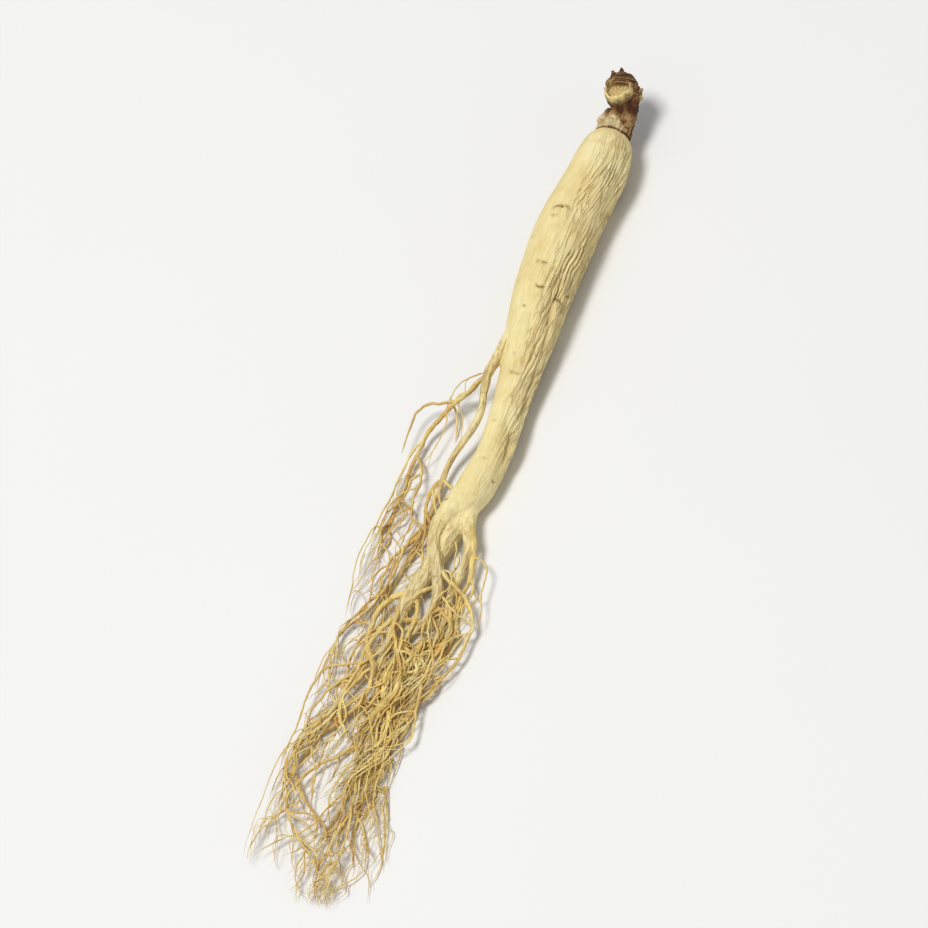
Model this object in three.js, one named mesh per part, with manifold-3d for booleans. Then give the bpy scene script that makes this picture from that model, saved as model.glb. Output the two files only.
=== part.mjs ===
// A dried ginseng root lying on a table, grown in one piece: a gnarled rhizome with its
// stem scars, a plump wrinkled taproot, the legs that fork from its foot, and fine rootlets.
// Millimetres. +Z is up, +Y runs along the taproot towards the rhizome, and the origin is
// the middle of the underside of the root's box.
import * as THREE from "three";
import { mergeVertices } from "three/addons/utils/BufferGeometryUtils.js";
import Module from "manifold-3d";

const wasm = await Module();
wasm.setup();

// Driving dimensions
const girth = 1; // scales every thickness, 1 for a taproot 12 mm across
const boxMiddle = [-1.6, -34.71]; // where the box's middle falls in the drawing below
const foldDepth = 0.26; // lengthwise wrinkles of the taproot
const foldCount = 9; // wrinkles round the taproot
const lumpHeight = 0.12; // slow swellings of the taproot
const twistDepth = 0.3; // ridges that wind round the rhizome
const twistCount = 5;
const leavingAngle = 0.75; // between a small rootlet and its parent, in radians
const pileHeight = 2.2; // how high the small rootlets lie over each other
const bunchMiddle = -2; // the line in x that the small rootlets steer back to
const gathering = 0.035; // how hard they do, in radians a millimetre
const colours = { root: 0xe3d3a2 };

// Centrelines as drawn from the photograph: x, y, height of the axis, radius.
const taproot = [
  [3.4, 41.2, 6.2, 1.2],
  [3.4, 40.4, 6.1, 3.2],
  [3.3, 39.0, 6.0, 4.3],
  [3.2, 36.4, 6.0, 5.1],
  [3.2, 32.2, 6.0, 5.5],
  [2.4, 26.4, 5.95, 5.85],
  [1.6, 20.3, 5.7, 6.0],
  [1.3, 13.9, 5.65, 6.0],
  [1.2, 7.6, 5.45, 5.75],
  [1.3, 1.7, 5.2, 5.35],
  [2.0, -5.9, 5.0, 4.7],
  [2.4, -13.5, 4.5, 3.85],
  [2.8, -20.9, 4.1, 3.35],
  [3.1, -29.9, 3.9, 3.3],
  [2.2, -37.1, 3.8, 3.6],
  [1.2, -41.2, 3.6, 3.2],
  [0.8, -43.6, 3.4, 2.2],
  [0.6, -45.0, 3.2, 0.9],
];
const rhizome = [
  [2.8, 37.6, 6.0, 2.2],
  [2.8, 40.2, 6.3, 2.9],
  [3.0, 42.2, 6.8, 2.7],
  [3.2, 44.2, 7.3, 2.5],
  [3.2, 45.8, 7.9, 2.2],
  [3.3, 47.2, 8.5, 2.9],
  [3.2, 48.7, 9.0, 3.3],
  [2.6, 50.2, 9.4, 2.9],
  [2.1, 51.4, 9.8, 1.9],
  [1.9, 52.1, 9.9, 0.7],
];
// The strap of bark down the rhizome's right side, the legs that fork from the taproot's
// foot, and the side root that leaves its left flank.
const limbs = {
  strap: [
    [4.4, 49.2, 8.4, 0.9],
    [5.1, 47.6, 8.0, 1.5],
    [5.4, 45.4, 7.2, 1.5],
    [5.2, 43.0, 6.6, 1.6],
    [4.8, 40.4, 6.1, 1.9],
    [4.4, 38.0, 5.9, 1.3],
  ],
  left: [
    [0.9, -39.6, 4.2, 2.4],
    [-0.4, -43.2, 4.5, 2.3],
    [-1.8, -46.6, 4.4, 1.7],
    [-2.0, -49.6, 4.1, 1.35],
    [-1.3, -52.0, 3.7, 1.35],
    [0.6, -56.0, 3.0, 1.25],
    [1.9, -60.2, 2.0, 1.05],
    [1.5, -64.6, 1.4, 0.8],
    [-0.4, -68.6, 1.2, 0.65],
    [-2.4, -73.4, 1.0, 0.4],
  ],
  stout: [
    [1.2, -40.0, 3.0, 2.9],
    [0.6, -44.6, 2.6, 2.5],
    [-0.5, -50.2, 2.1, 2.05],
    [-1.4, -54.6, 2.0, 2.0],
    [-2.5, -58.8, 1.9, 1.9],
    [-3.5, -63.0, 1.8, 1.6],
    [-4.0, -66.4, 1.5, 1.1],
    [-4.3, -69.8, 1.2, 0.85],
    [-4.0, -74.4, 1.0, 0.7],
    [-3.3, -79.2, 0.9, 0.6],
    [-2.4, -84.0, 0.8, 0.5],
    [-2.6, -90.0, 0.75, 0.45],
    [-1.2, -98.5, 0.7, 0.4],
    [-1.4, -106.0, 0.65, 0.35],
    [-3.2, -113.5, 0.6, 0.25],
  ],
  right: [
    [1.6, -39.8, 3.6, 2.5],
    [2.6, -44.2, 3.2, 1.7],
    [4.4, -49.4, 2.6, 1.0],
    [4.9, -54.0, 2.0, 0.85],
    [4.2, -59.6, 1.5, 0.75],
    [4.9, -66.0, 1.1, 0.6],
    [4.0, -73.0, 0.9, 0.5],
    [5.6, -82.0, 0.75, 0.4],
    [4.6, -92.0, 0.65, 0.3],
  ],
  side: [
    [0.6, -3.0, 6.4, 2.2],
    [-1.1, -7.2, 6.9, 1.5],
    [-2.0, -11.6, 6.8, 1.1],
    [-2.9, -15.0, 6.3, 0.95],
    [-2.5, -18.9, 5.8, 0.85],
    [-1.9, -22.4, 5.3, 0.75],
    [-2.4, -25.9, 4.8, 0.7],
    [-3.8, -29.4, 4.0, 0.65],
    [-5.2, -33.0, 3.0, 0.6],
    [-5.8, -38.0, 2.0, 0.55],
    [-6.0, -45.0, 1.3, 0.5],
    [-6.9, -53.0, 0.9, 0.45],
    [-8.4, -60.5, 0.75, 0.4],
    [-10.4, -67.0, 0.65, 0.3],
  ],
};
// Long rootlets that loop out of the legs where the photograph shows them.
const runners = {
  thigh: [
    [-0.4, -9.0, 6.6, 0.8],
    [-3.2, -15.2, 6.0, 0.55],
    [-6.4, -19.2, 4.8, 0.5],
    [-9.6, -23.0, 3.6, 0.45],
    [-12.2, -28.0, 2.4, 0.42],
    [-13.4, -34.4, 1.4, 0.4],
    [-13.6, -42.0, 0.8, 0.35],
    [-15.4, -50.0, 0.6, 0.25],
  ],
  loopOut: [
    [-3.0, -60.6, 2.2, 0.9],
    [-5.4, -62.4, 2.9, 0.65],
    [-7.6, -65.4, 2.6, 0.6],
    [-8.5, -69.2, 2.2, 0.55],
    [-7.6, -73.2, 2.2, 0.5],
    [-5.0, -76.8, 2.6, 0.5],
    [-3.8, -80.8, 2.8, 0.48],
    [-4.6, -84.8, 2.2, 0.45],
    [-7.4, -88.4, 1.4, 0.4],
    [-11.0, -92.6, 0.8, 0.35],
    [-12.6, -99.0, 0.6, 0.25],
  ],
  loopBack: [
    [-2.0, -72.6, 1.2, 0.5],
    [0.6, -76.6, 1.9, 0.48],
    [1.3, -80.8, 2.4, 0.46],
    [-0.4, -84.2, 2.4, 0.44],
    [-1.4, -87.2, 2.0, 0.42],
    [-0.2, -90.6, 1.5, 0.4],
    [2.2, -95.4, 0.9, 0.36],
    [1.8, -103.0, 0.65, 0.3],
    [3.4, -111.0, 0.6, 0.25],
  ],
  outer: [
    [2.6, -43.0, 3.8, 1.0],
    [4.9, -47.6, 3.9, 0.6],
    [6.7, -51.8, 3.3, 0.55],
    [7.0, -56.4, 2.3, 0.5],
    [6.4, -61.4, 1.4, 0.45],
    [7.4, -68.0, 0.8, 0.4],
    [6.6, -75.0, 0.65, 0.25],
  ],
};
// Rule for the small rootlets: parent, how many, where along it they start, their length,
// how far their courses differ, and the side they leave to (1 right, -1 left, 0 by turns).
// The draws are seeded, so they are the same each time.
const sprouts = [
  { parent: "side", count: 3, from: 0.45, to: 0.95, length: 22, spread: 0.3, turns: -1 },
  { parent: "left", count: 5, from: 0.4, to: 0.95, length: 30, spread: 0.35, turns: 0 },
  { parent: "stout", count: 9, from: 0.25, to: 0.8, length: 32, spread: 0.35, turns: 0 },
  { parent: "right", count: 4, from: 0.35, to: 0.9, length: 26, spread: 0.3, turns: 0 },
  { parent: "thigh", count: 2, from: 0.5, to: 0.9, length: 18, spread: 0.3, turns: 1 },
  { parent: "loopOut", count: 3, from: 0.25, to: 0.9, length: 20, spread: 0.4, turns: -1 },
  { parent: "loopBack", count: 2, from: 0.4, to: 0.8, length: 16, spread: 0.3, turns: 1 },
  { parent: "outer", count: 2, from: 0.5, to: 0.9, length: 18, spread: 0.3, turns: -1 },
];
const sproutRadius = 0.48;
const sproutSteps = 8;
// How finely each skin is divided: sides round it, and rings for each row of its table.
const limbSides = 7;
const runnerSides = 5;
const sproutSides = 4;
const rings = (rows) => Math.round(1.6 * rows.length);
// Stem scars on the rhizome: centre, the way they face, radius.
const stemScars = [
  { at: [3.2, 47.3, 11.1], faces: [-0.1, -0.3, 0.95], radius: 2.6 },
  { at: [0.9, 43.6, 7.9], faces: [-0.8, 0.1, 0.6], radius: 1.6 },
  { at: [5.6, 50.0, 7.6], faces: [0.8, 0.55, -0.2], radius: 1.8 },
];
// Dry points left on the rhizome: foot, tip, radius at the foot.
const points = [
  { foot: [5.6, 48.2, 8.9], tip: [7.4, 49.8, 9.6], radius: 0.8 },
  { foot: [1.3, 50.0, 10.0], tip: [0.5, 51.9, 11.0], radius: 1.0 },
  { foot: [2.5, 50.8, 10.2], tip: [2.2, 53.0, 10.9], radius: 1.0 },
];

// The same number from 0 to 1 for the same pair of whole numbers.
function chance(seed, n) {
  const wave = Math.sin(seed * 12.9898 + n * 78.233) * 43758.5453;
  return wave - Math.floor(wave);
}

// A centreline with a radius at each point, both smooth, measured by its own length.
function centreline(rows) {
  const spline = (pick) =>
    new THREE.CatmullRomCurve3(rows.map(pick), false, "catmullrom", 0.5);
  const line = spline(([x, y, z]) => new THREE.Vector3(x, y, z));
  const size = spline(([, , , r]) => new THREE.Vector3(r, 0, 0));
  line.arcLengthDivisions = 400;
  const up = new THREE.Vector3(0, 0, 1);
  return (share) => {
    const tangent = line.getTangentAt(share);
    const side = new THREE.Vector3().crossVectors(tangent, up).normalize();
    return {
      at: line.getPointAt(share),
      radius: girth * size.getPoint(line.getUtoTmapping(share)).x,
      tangent,
      side,
      top: new THREE.Vector3().crossVectors(side, tangent),
    };
  };
}

// A closed skin round a centreline: a lathe profile of unit radius whose stations are carried
// along the line. relief(share, angle) adds to the radius, angle 0 being the left side
// seen from above with the rhizome away from you, and a quarter turn the top.
function grow(rows, sides, stations, relief = () => 0) {
  const line = centreline(rows);
  const profile = [new THREE.Vector2(0, 0)];
  for (let i = 0; i <= stations; i++) profile.push(new THREE.Vector2(1, i));
  profile.push(new THREE.Vector2(0, stations));
  const skin = new THREE.LatheGeometry(profile, sides);
  const position = skin.getAttribute("position");
  for (let i = 0; i < position.count; i++) {
    const x = position.getX(i);
    const z = position.getZ(i);
    const share = position.getY(i) / stations;
    const angle = Math.atan2(z, x);
    const { at, radius, side, top } = line(share);
    const reach = Math.hypot(x, z) > 0.5 ? radius + relief(share, angle) : 0;
    at.addScaledVector(side, Math.cos(angle) * reach);
    at.addScaledVector(top, Math.sin(angle) * reach);
    position.setXYZ(i, at.x, at.y, at.z);
  }
  return skin;
}

// A manifold solid from a closed geometry, turned outwards if its faces point in.
function solid(geometry) {
  const bare = geometry.index ? geometry.toNonIndexed() : geometry.clone();
  bare.deleteAttribute("normal");
  bare.deleteAttribute("uv");
  const merged = mergeVertices(bare, 1e-4);
  const make = (triVerts) =>
    new wasm.Manifold(
      new wasm.Mesh({
        numProp: 3,
        vertProperties: new Float32Array(merged.attributes.position.array),
        triVerts,
      }),
    );
  const kept = new Uint32Array(merged.index.array);
  const made = make(kept);
  return made.volume() > 0 ? made : make(kept.slice().reverse());
}

// Lengthwise folds, deep on the right flank and faint on the upper left, and slow lumps.
function taprootRelief(share, angle) {
  const flank = 0.5 - 0.5 * Math.cos(angle - 0.5);
  const ends = Math.min(1, 12 * share, 12 * (1 - share));
  const wander = 2.4 * Math.sin(6.5 * share) + 1.1 * Math.sin(17 * share + 1.3);
  const folds = Math.sin(foldCount * angle + wander);
  const lumps = Math.sin(9 * share + 2 * angle) + Math.sin(23 * share - angle);
  return ends * (foldDepth * (0.3 + 0.7 * flank) * folds + lumpHeight * lumps);
}

// Ridges that wind round the rhizome, between the rings that each year's stem has left.
function rhizomeRelief(share, angle) {
  const ridges = Math.sin(twistCount * angle + 7 * share);
  const years = Math.cos(2 * Math.PI * 4.5 * share);
  return twistDepth * (0.6 * ridges + 0.7 * years) * Math.min(1, 8 * (1 - share));
}

// One small rootlet: it starts on its parent's axis, leaves to one side, bends round to run
// away from the rhizome, steers back to the middle of the bunch, and sinks to the table.
function sproutLine(parent, start, seed, { length, spread, turns }) {
  const { at, tangent, radius: width } = parent(start);
  const hand = turns || (seed % 2 ? 1 : -1);
  const leaves = Math.atan2(tangent.y, tangent.x) + hand * leavingAngle;
  const runs = -Math.PI / 2 + (chance(seed, 1) - 0.5) * 2 * spread;
  const phase = chance(seed, 2) * 2 * Math.PI;
  const reach = length * (0.55 + 0.75 * chance(seed, 3));
  const rise = 0.8 * chance(seed, 4);
  const rest = sproutRadius + pileHeight * chance(seed, 5);
  const thick = Math.min(sproutRadius, 0.8 * width);
  const rows = [];
  let [x, y] = [at.x, at.y];
  for (let i = 0; i <= sproutSteps; i++) {
    const t = i / sproutSteps;
    const height = rest + (at.z - rest) * (1 - t) ** 2 + rise * Math.sin(Math.PI * t);
    rows.push([x, y, height, thick * (1 - 0.5 * t)]);
    const bend = Math.min(1, 2 * t);
    const gather = gathering * (bunchMiddle - x) * bend;
    const wander = 0.5 * Math.sin(phase + 5.5 * t);
    const angle = leaves * (1 - bend) + runs * bend + gather + wander;
    x += (reach / sproutSteps) * Math.cos(angle);
    y += (reach / sproutSteps) * Math.sin(angle);
  }
  return rows;
}

// A stem scar: a flat knob, wider than long, with a shallow bowl sunk in its face.
function scarParts({ at, faces, radius }) {
  const turn = new THREE.Quaternion().setFromUnitVectors(
    new THREE.Vector3(0, 1, 0),
    new THREE.Vector3(...faces).normalize(),
  );
  const ball = (size, squash, lift) => {
    const knob = new THREE.SphereGeometry(size * radius, 12, 8);
    knob.scale(1.15, squash, 0.9).translate(0, lift * radius, 0);
    return solid(knob.applyQuaternion(turn).translate(...at));
  };
  return { knob: ball(1, 0.62, -0.25), bowl: ball(0.84, 0.6, 0.42) };
}

// A dry point: a slim cone from its foot to its tip.
function dryPoint({ foot, tip, radius }) {
  const from = new THREE.Vector3(...foot);
  const along = new THREE.Vector3(...tip).sub(from);
  const cone = new THREE.ConeGeometry(radius, along.length(), 6);
  const turn = new THREE.Quaternion().setFromUnitVectors(
    new THREE.Vector3(0, 1, 0),
    along.clone().normalize(),
  );
  cone.applyQuaternion(turn);
  cone.translate(...from.addScaledVector(along, 0.5));
  return solid(cone);
}

// Everything that grows is joined into one body.
let root = solid(grow(rhizome, 16, 20, rhizomeRelief));
for (const scar of stemScars.map(scarParts)) root = root.add(scar.knob).subtract(scar.bowl);
for (const point of points) root = root.add(dryPoint(point));
root = root.add(solid(grow(taproot, 30, 36, taprootRelief)));
for (const rows of Object.values(limbs)) root = root.add(solid(grow(rows, limbSides, rings(rows))));
for (const rows of Object.values(runners)) root = root.add(solid(grow(rows, runnerSides, rings(rows))));
sprouts.forEach((kin, family) => {
  const line = centreline(limbs[kin.parent] ?? runners[kin.parent]);
  for (let i = 0; i < kin.count; i++) {
    const start = kin.from + ((kin.to - kin.from) * (i + 0.5)) / kin.count;
    const rows = sproutLine(line, start, 10 * family + i + 1, kin);
    root = root.add(solid(grow(rows, sproutSides, sproutSteps)));
  }
});

// The underside is flat where the root lies on the table.
const table = new THREE.BoxGeometry(400, 400, 20).translate(0, 0, -10);
root = root.subtract(solid(table));

const cut = root.getMesh();
const geometry = new THREE.BufferGeometry();
geometry.setAttribute("position", new THREE.BufferAttribute(cut.vertProperties, 3));
geometry.setIndex(new THREE.BufferAttribute(cut.triVerts, 1));
geometry.computeVertexNormals();

const material = new THREE.MeshStandardMaterial({
  color: colours.root,
  roughness: 0.85,
  metalness: 0,
});
const mesh = new THREE.Mesh(geometry, material);
mesh.name = "ginseng_root";
mesh.position.set(-boxMiddle[0], -boxMiddle[1], 0);

const group = new THREE.Group();
group.add(mesh);
export default group;
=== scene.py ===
import math

import bpy
import numpy as np
from mathutils import Matrix, Vector


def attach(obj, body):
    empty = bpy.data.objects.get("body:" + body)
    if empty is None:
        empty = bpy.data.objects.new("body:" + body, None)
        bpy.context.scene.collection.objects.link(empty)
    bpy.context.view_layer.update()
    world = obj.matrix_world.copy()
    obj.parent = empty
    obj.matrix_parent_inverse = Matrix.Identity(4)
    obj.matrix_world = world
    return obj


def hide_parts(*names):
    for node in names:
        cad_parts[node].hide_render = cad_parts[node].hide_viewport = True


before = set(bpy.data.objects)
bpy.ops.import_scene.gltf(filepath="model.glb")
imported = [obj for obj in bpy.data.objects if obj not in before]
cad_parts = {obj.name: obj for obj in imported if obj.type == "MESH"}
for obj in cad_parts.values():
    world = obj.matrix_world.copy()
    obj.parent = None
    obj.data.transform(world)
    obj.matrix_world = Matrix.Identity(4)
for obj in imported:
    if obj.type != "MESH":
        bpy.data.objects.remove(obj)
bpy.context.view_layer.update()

# Everything is drawn in millimetres about the taproot and moved into the frame at the end.
boxMiddle = np.array((-1.6, -34.71, 0.0))
mm = 0.001

# The photograph's view, as the directions to its right, its top and its camera.
viewRight = np.array((0.9005, 0.3285, -0.2845))
viewUp = np.array((-0.1385, 0.8375, 0.5283))
viewOut = np.array((0.4118, -0.4363, 0.7997))


def intoFrame(points):
    # metres in the frame: the drawn point less the middle of the box, times a thousandth
    return (points - boxMiddle) * mm


# numbers that repeat on every run

def chance(seed, n):
    # the fraction part of a large sine wave, one number from 0 to 1 for each pair
    wave = np.sin(seed * 12.9898 + n * 78.233) * 43758.5453
    return wave - np.floor(wave)


def cellValue(ix, iy, iz, seed):
    # -1 to 1 for each lattice point: the whole numbers are multiplied, mixed and shifted
    h = (ix * 73856093) ^ (iy * 19349663) ^ (iz * 83492791) ^ (seed * 2654435761)
    h &= 0xFFFFFFFF
    h = ((h ^ (h >> 15)) * 0x2C1B3C6D) & 0xFFFFFFFF
    h = ((h ^ (h >> 12)) * 0x297A2D39) & 0xFFFFFFFF
    return (h ^ (h >> 15)) / 2147483647.5 - 1


def smoothNoise(points, seed):
    # the eight lattice values round each point, blended by a smooth step along each axis
    base = np.floor(points).astype(np.int64)
    part = points - base
    ease = part ** 3 * (part * (part * 6 - 15) + 10)
    total = np.zeros(points.shape[:-1])
    for dx in (0, 1):
        for dy in (0, 1):
            for dz in (0, 1):
                share = (
                    (ease[..., 0] if dx else 1 - ease[..., 0])
                    * (ease[..., 1] if dy else 1 - ease[..., 1])
                    * (ease[..., 2] if dz else 1 - ease[..., 2])
                )
                total += share * cellValue(
                    base[..., 0] + dx, base[..., 1] + dy, base[..., 2] + dz, seed
                )
    return total


def layeredNoise(points, seed, layers=3):
    # smooth noise plus itself at twice the pitch and half the height, layer by layer
    return sum(smoothNoise(points * 2**k, seed + k) / 2**k for k in range(layers)) / 1.5


def creaseLines(points, seed, width):
    # 1 along the lines where smooth noise passes zero, falling smoothly to 0 at width
    near = np.clip(1 - np.abs(smoothNoise(points, seed)) / width, 0, 1)
    return near * near * (3 - 2 * near)


def ramp(value, low, high):
    # 0 below low, 1 above high, a smooth step between
    t = np.clip((value - low) / (high - low), 0, 1)
    return t * t * (3 - 2 * t)


# lines, skins and meshes

def smoothLine(rows, count):
    # a uniform Catmull-Rom line through rows of x, y, height and radius, read at count
    # points that are evenly spaced along its length
    rows = np.asarray(rows, float)
    padded = np.vstack([2 * rows[0] - rows[1], rows, 2 * rows[-1] - rows[-2]])
    t = np.linspace(0, len(rows) - 1, 40 * len(rows))
    i = np.minimum(t.astype(int), len(rows) - 2)
    f = (t - i)[:, None]
    before, start, end, after = (padded[i + k] for k in range(4))
    leaving, coming = (end - before) / 2, (after - start) / 2
    line = (
        (2 * start - 2 * end + leaving + coming) * f**3
        + (-3 * start + 3 * end - 2 * leaving - coming) * f**2
        + leaving * f
        + start
    )
    gone = np.concatenate([[0], np.cumsum(np.linalg.norm(np.diff(line[:, :3], axis=0), axis=1))])
    want = np.linspace(0, gone[-1], count)
    return np.stack([np.interp(want, gone, column) for column in line.T], axis=1), gone[-1]


def spacedLine(rows, perMm):
    # the smooth line through rows with perMm points for each mm, six at least, and its length
    _, length = smoothLine(rows, 2)
    return smoothLine(rows, max(6, int(length * perMm)))


def goneAlong(paths):
    # the length of each path from its foot up to each of its points
    return np.cumsum(np.linalg.norm(np.diff(paths, axis=1, prepend=paths[:, :1]), axis=2), axis=1)


def ringAngles(sides):
    # even angles round a ring, the last one short of the first
    return np.linspace(0, 2 * np.pi, sides, endpoint=False)


def stacked(*columns):
    # numbers of any matching shapes as the x, y and z of one array of points
    return np.stack(np.broadcast_arrays(*columns), axis=-1)


def directions(paths, upward=(0.0, 0.0, 1.0)):
    # for each point of each path: to its side, square to upward, and across side and path
    along = np.gradient(paths, axis=-2)
    along /= np.linalg.norm(along, axis=-1, keepdims=True)
    side = np.cross(along, upward)
    side /= np.maximum(np.linalg.norm(side, axis=-1, keepdims=True), 1e-9)
    return side, np.cross(side, along)


def closedSkin(rings, starts, ends):
    # rings[skin, station, ring point] joined by squares, each end closed by a fan of
    # triangles from one point
    n, stations, sides, _ = rings.shape
    points = np.concatenate([rings.reshape(n, -1, 3), starts[:, None], ends[:, None]], axis=1)
    j = np.arange(sides)
    k = (j + 1) % sides
    step = sides * np.arange(stations - 1)[:, None]
    quads = np.stack([step + j, step + sides + j, step + sides + k, step + k], axis=-1).reshape(-1, 4)
    last = sides * (stations - 1)
    first = np.full(sides, sides * stations)
    tris = np.concatenate(
        [np.stack([first, j, k], axis=1), np.stack([first + 1, last + k, last + j], axis=1)]
    )
    offset = (sides * stations + 2) * np.arange(n)[:, None, None]
    return points.reshape(-1, 3), (quads + offset).reshape(-1, 4), (tris + offset).reshape(-1, 3)


def carryRing(paths, reach, upward=(0.0, 0.0, 1.0), flat=1.0):
    # ring points stand off each path by reach(path, station, ring), at even angles from its
    # side round by its top; flat is how thick the skin is for its width
    side, top = directions(paths, upward)
    angle = ringAngles(reach.shape[2])
    rings = (
        paths[:, :, None]
        + side[:, :, None] * (np.cos(angle) * reach)[..., None]
        + top[:, :, None] * (flat * np.sin(angle) * reach)[..., None]
    )
    return closedSkin(rings, paths[:, 0], paths[:, -1])


def withEnds(values):
    # one number for each ring point, and for the two closing points those beside them
    n = values.shape[0]
    flat = values.reshape(n, -1)
    return np.concatenate([flat, values[:, 0, :1], values[:, -1, :1]], axis=1).ravel()


def joined(parts):
    # several (points, quads, tris) as one, each part's numbers shifted past the last one's
    points, quads, tris, count = [], [], [], 0
    for p, q, t in parts:
        points.append(p)
        quads.append(q + count)
        tris.append(t + count)
        count += len(p)
    return np.concatenate(points), np.concatenate(quads), np.concatenate(tris)


def bareMesh(name, points, quads, tris):
    # squares first, then triangles, as one smooth-shaded mesh
    mesh = bpy.data.meshes.new(name)
    mesh.vertices.add(len(points))
    mesh.vertices.foreach_set("co", points.astype(np.float32).ravel())
    corners = np.concatenate([quads.ravel(), tris.ravel()]).astype(np.int32)
    starts = np.concatenate([4 * np.arange(len(quads)), 4 * len(quads) + 3 * np.arange(len(tris))])
    mesh.loops.add(len(corners))
    mesh.loops.foreach_set("vertex_index", corners)
    mesh.polygons.add(len(starts))
    mesh.polygons.foreach_set("loop_start", starts.astype(np.int32))
    mesh.update(calc_edges=True)
    mesh.polygons.foreach_set("use_smooth", np.ones(len(starts), bool))
    return mesh


def newPiece(name, shape, material, values):
    # puts a drawn shape into the frame, with one float attribute for each name in values;
    # nothing goes below the table
    points, quads, tris = shape
    points[:, 2] = np.maximum(points[:, 2], 0.0)
    mesh = bareMesh(name, intoFrame(points), quads, tris)
    for key, numbers in values.items():
        layer = mesh.attributes.new(key, "FLOAT", "POINT")
        layer.data.foreach_set("value", np.asarray(numbers, np.float32))
    mesh.materials.append(material)
    piece = bpy.data.objects.new(name, mesh)
    bpy.context.scene.collection.objects.link(piece)
    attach(piece, "root")
    print(f"{name}: {len(points)} points, {2 * len(quads) + len(tris)} triangles")
    return piece


def fuse(shape, grain, smoothing, stretch=1.0):
    # overlapping closed skins as one skin of even small squares, smoothed where they meet;
    # the squares come out longer along y by stretch, like the folds that they carry
    mesh = bareMesh("fusing", shape[0] / (1, stretch, 1), *shape[1:])
    lump = bpy.data.objects.new("fusing", mesh)
    bpy.context.scene.collection.objects.link(lump)
    remesh = lump.modifiers.new("squares", "REMESH")
    remesh.mode = "VOXEL"
    remesh.voxel_size = grain
    smooth = lump.modifiers.new("smooth", "SMOOTH")
    smooth.factor = 0.5
    smooth.iterations = smoothing
    made = lump.evaluated_get(bpy.context.evaluated_depsgraph_get()).to_mesh()
    points = np.empty(3 * len(made.vertices), np.float32)
    made.vertices.foreach_get("co", points)
    normals = np.empty(3 * len(made.vertices), np.float32)
    made.vertex_normals.foreach_get("vector", normals)
    sizes = np.empty(len(made.polygons), np.int32)
    made.polygons.foreach_get("loop_total", sizes)
    corners = np.empty(len(made.loops), np.int32)
    made.loops.foreach_get("vertex_index", corners)
    first = np.concatenate([[0], np.cumsum(sizes)[:-1]])
    quads = corners[first[sizes == 4][:, None] + np.arange(4)]
    tris = corners[first[sizes == 3][:, None] + np.arange(3)]
    bpy.data.objects.remove(lump)
    bpy.data.meshes.remove(mesh)
    points = points.reshape(-1, 3).astype(float) * (1, stretch, 1)
    normals = normals.reshape(-1, 3).astype(float) / (1, stretch, 1)
    return (points, quads, tris), normals / np.linalg.norm(normals, axis=1, keepdims=True)


# the root's centrelines: x, y, height of the axis, radius

taprootRows = [
    (3.4, 41.2, 6.2, 1.2), (3.4, 40.4, 6.1, 3.2), (3.3, 39.0, 6.0, 4.3), (3.2, 36.4, 6.0, 5.1),
    (3.2, 32.2, 6.0, 5.5), (2.4, 26.4, 5.95, 5.85), (1.6, 20.3, 5.7, 6.0), (1.3, 13.9, 5.65, 6.0),
    (1.2, 7.6, 5.45, 5.75), (1.3, 1.7, 5.2, 5.35), (2.0, -5.9, 5.0, 4.7), (2.4, -13.5, 4.5, 3.85),
    (2.8, -20.9, 4.1, 3.35), (3.1, -29.9, 3.9, 3.3), (2.2, -37.1, 3.8, 3.6), (1.2, -41.2, 3.6, 3.2),
    (0.8, -43.6, 3.4, 2.2), (0.6, -45.0, 3.2, 0.9),
]
rhizomeRows = [
    (2.8, 37.6, 6.0, 2.2), (2.8, 40.2, 6.3, 2.9), (3.0, 42.2, 6.8, 2.7), (3.4, 44.2, 7.3, 2.35),
    (3.6, 45.8, 7.9, 1.85), (3.3, 47.2, 8.5, 2.9), (3.2, 48.7, 9.0, 3.3), (2.6, 50.2, 9.4, 2.9),
    (2.1, 51.4, 9.8, 1.9), (1.9, 52.1, 9.9, 0.7),
]
strapRows = [
    (4.4, 49.2, 8.4, 0.9), (5.1, 47.6, 8.0, 1.5), (5.4, 45.4, 7.2, 1.5), (5.2, 43.0, 6.6, 1.6),
    (4.8, 40.4, 6.1, 1.9), (4.4, 38.0, 5.9, 1.3),
]
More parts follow.
